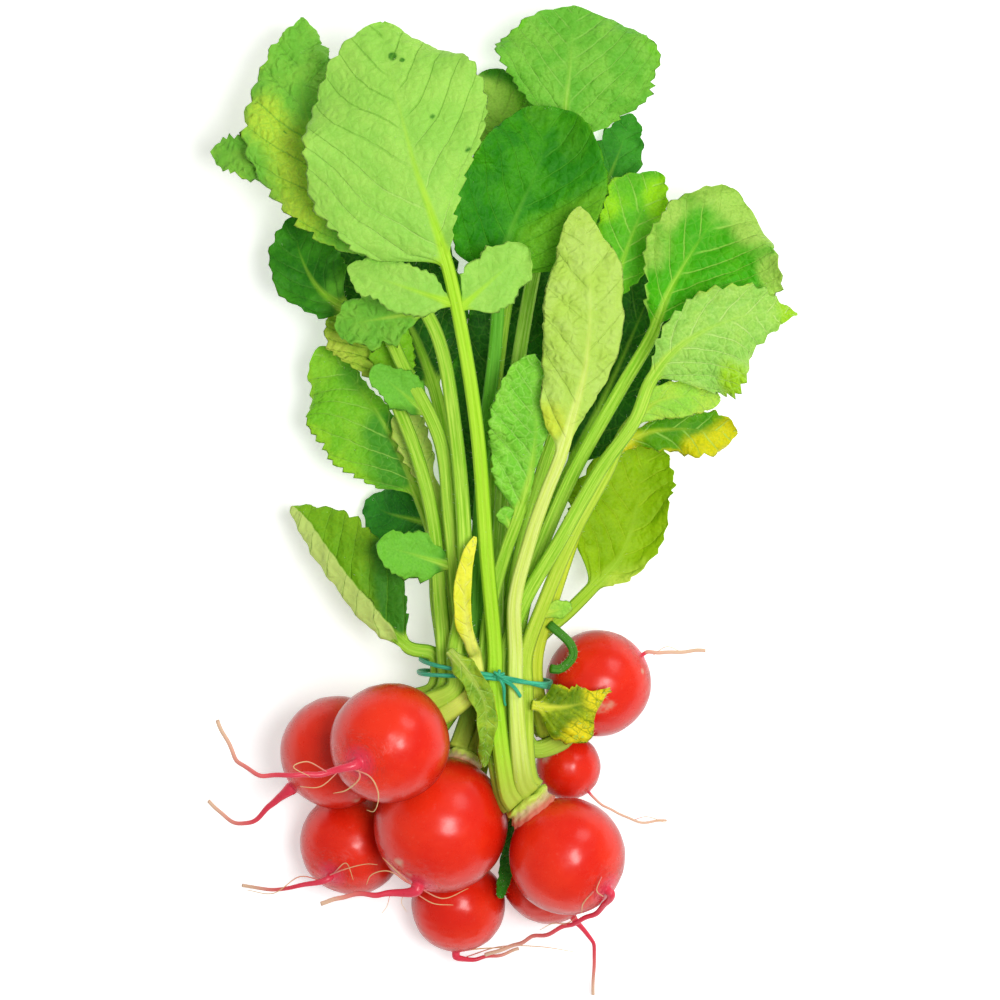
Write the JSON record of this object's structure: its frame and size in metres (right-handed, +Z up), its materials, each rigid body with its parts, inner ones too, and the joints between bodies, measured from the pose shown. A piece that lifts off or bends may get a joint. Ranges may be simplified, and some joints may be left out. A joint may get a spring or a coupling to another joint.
{
  "type": "bunch of radishes",
  "caption": "Bunch of round red radishes with their thin roots and serrated green leaves, tied round the stems with a thin green band and lying on its side.",
  "frame": {"origin": "centre of the overall box, on the surface that the bunch lies on", "axes": "+Y from the roots to the leaf tips, +Z up from the surface, +X to the right seen from above with the leaves away"},
  "size_m": [0.1714, 0.2942, 0.0795],
  "materials": {
    "radish_skin": "smooth waxy skin, bright red, with a soft shine",
    "crown": "dull pale green to brown collar",
    "leaf_green": "fresh green leaf, lightly hairy, with paler veins",
    "leaf_dark": "dark green leaf in the shade of the others",
    "leaf_pale": "pale green leaf, seen partly from below",
    "leaf_yellow": "older leaf turning yellow",
    "tie": "thin blue-green band"
  },
  "bodies": {
    "root": {"radish_upper": "radish_skin", "radish_left": "radish_skin", "radish_front": "radish_skin", "radish_lower_left": "radish_skin", "radish_bottom": "radish_skin", "radish_right": "radish_skin", "radish_right_under": "radish_skin", "radish_far_right": "radish_skin", "radish_small": "radish_skin", "crown_upper": "crown", "crown_left": "crown", "crown_front": "crown", "crown_lower_left": "crown", "crown_bottom": "crown", "crown_right": "crown", "crown_right_under": "crown", "crown_far_right": "crown", "crown_small": "crown", "leaf_front": "leaf_green", "leaf_left_serrated": "leaf_green", "leaf_top_fan": "leaf_green", "leaf_right_upper": "leaf_green", "leaf_centre_crinkled": "leaf_green", "leaf_lower_left": "leaf_green", "leaf_left_dark": "leaf_dark", "leaf_top_behind": "leaf_dark", "leaf_cupped": "leaf_dark", "leaf_top_right_dark": "leaf_dark", "leaf_left_under": "leaf_dark", "leaf_under_left": "leaf_dark", "leaf_under_centre": "leaf_dark", "leaf_under_right": "leaf_dark", "narrow_leaf": "leaf_dark", "bent_stalk": "leaf_dark", "leaf_curled_pale": "leaf_pale", "leaf_right_ruffled": "leaf_pale", "leaf_right_tip": "leaf_pale", "leaf_right_lobe": "leaf_pale", "leaf_left_pale": "leaf_pale", "leaf_back_left": "leaf_yellow", "leaf_right_yellow": "leaf_yellow", "leaf_right_hanging": "leaf_yellow", "leaf_left_wilted": "leaf_yellow", "leaf_small_yellow": "leaf_yellow", "withered_leaf": "leaf_yellow", "hanging_shred": "leaf_yellow", "tie": "tie"}
  },
  "joints": []
}
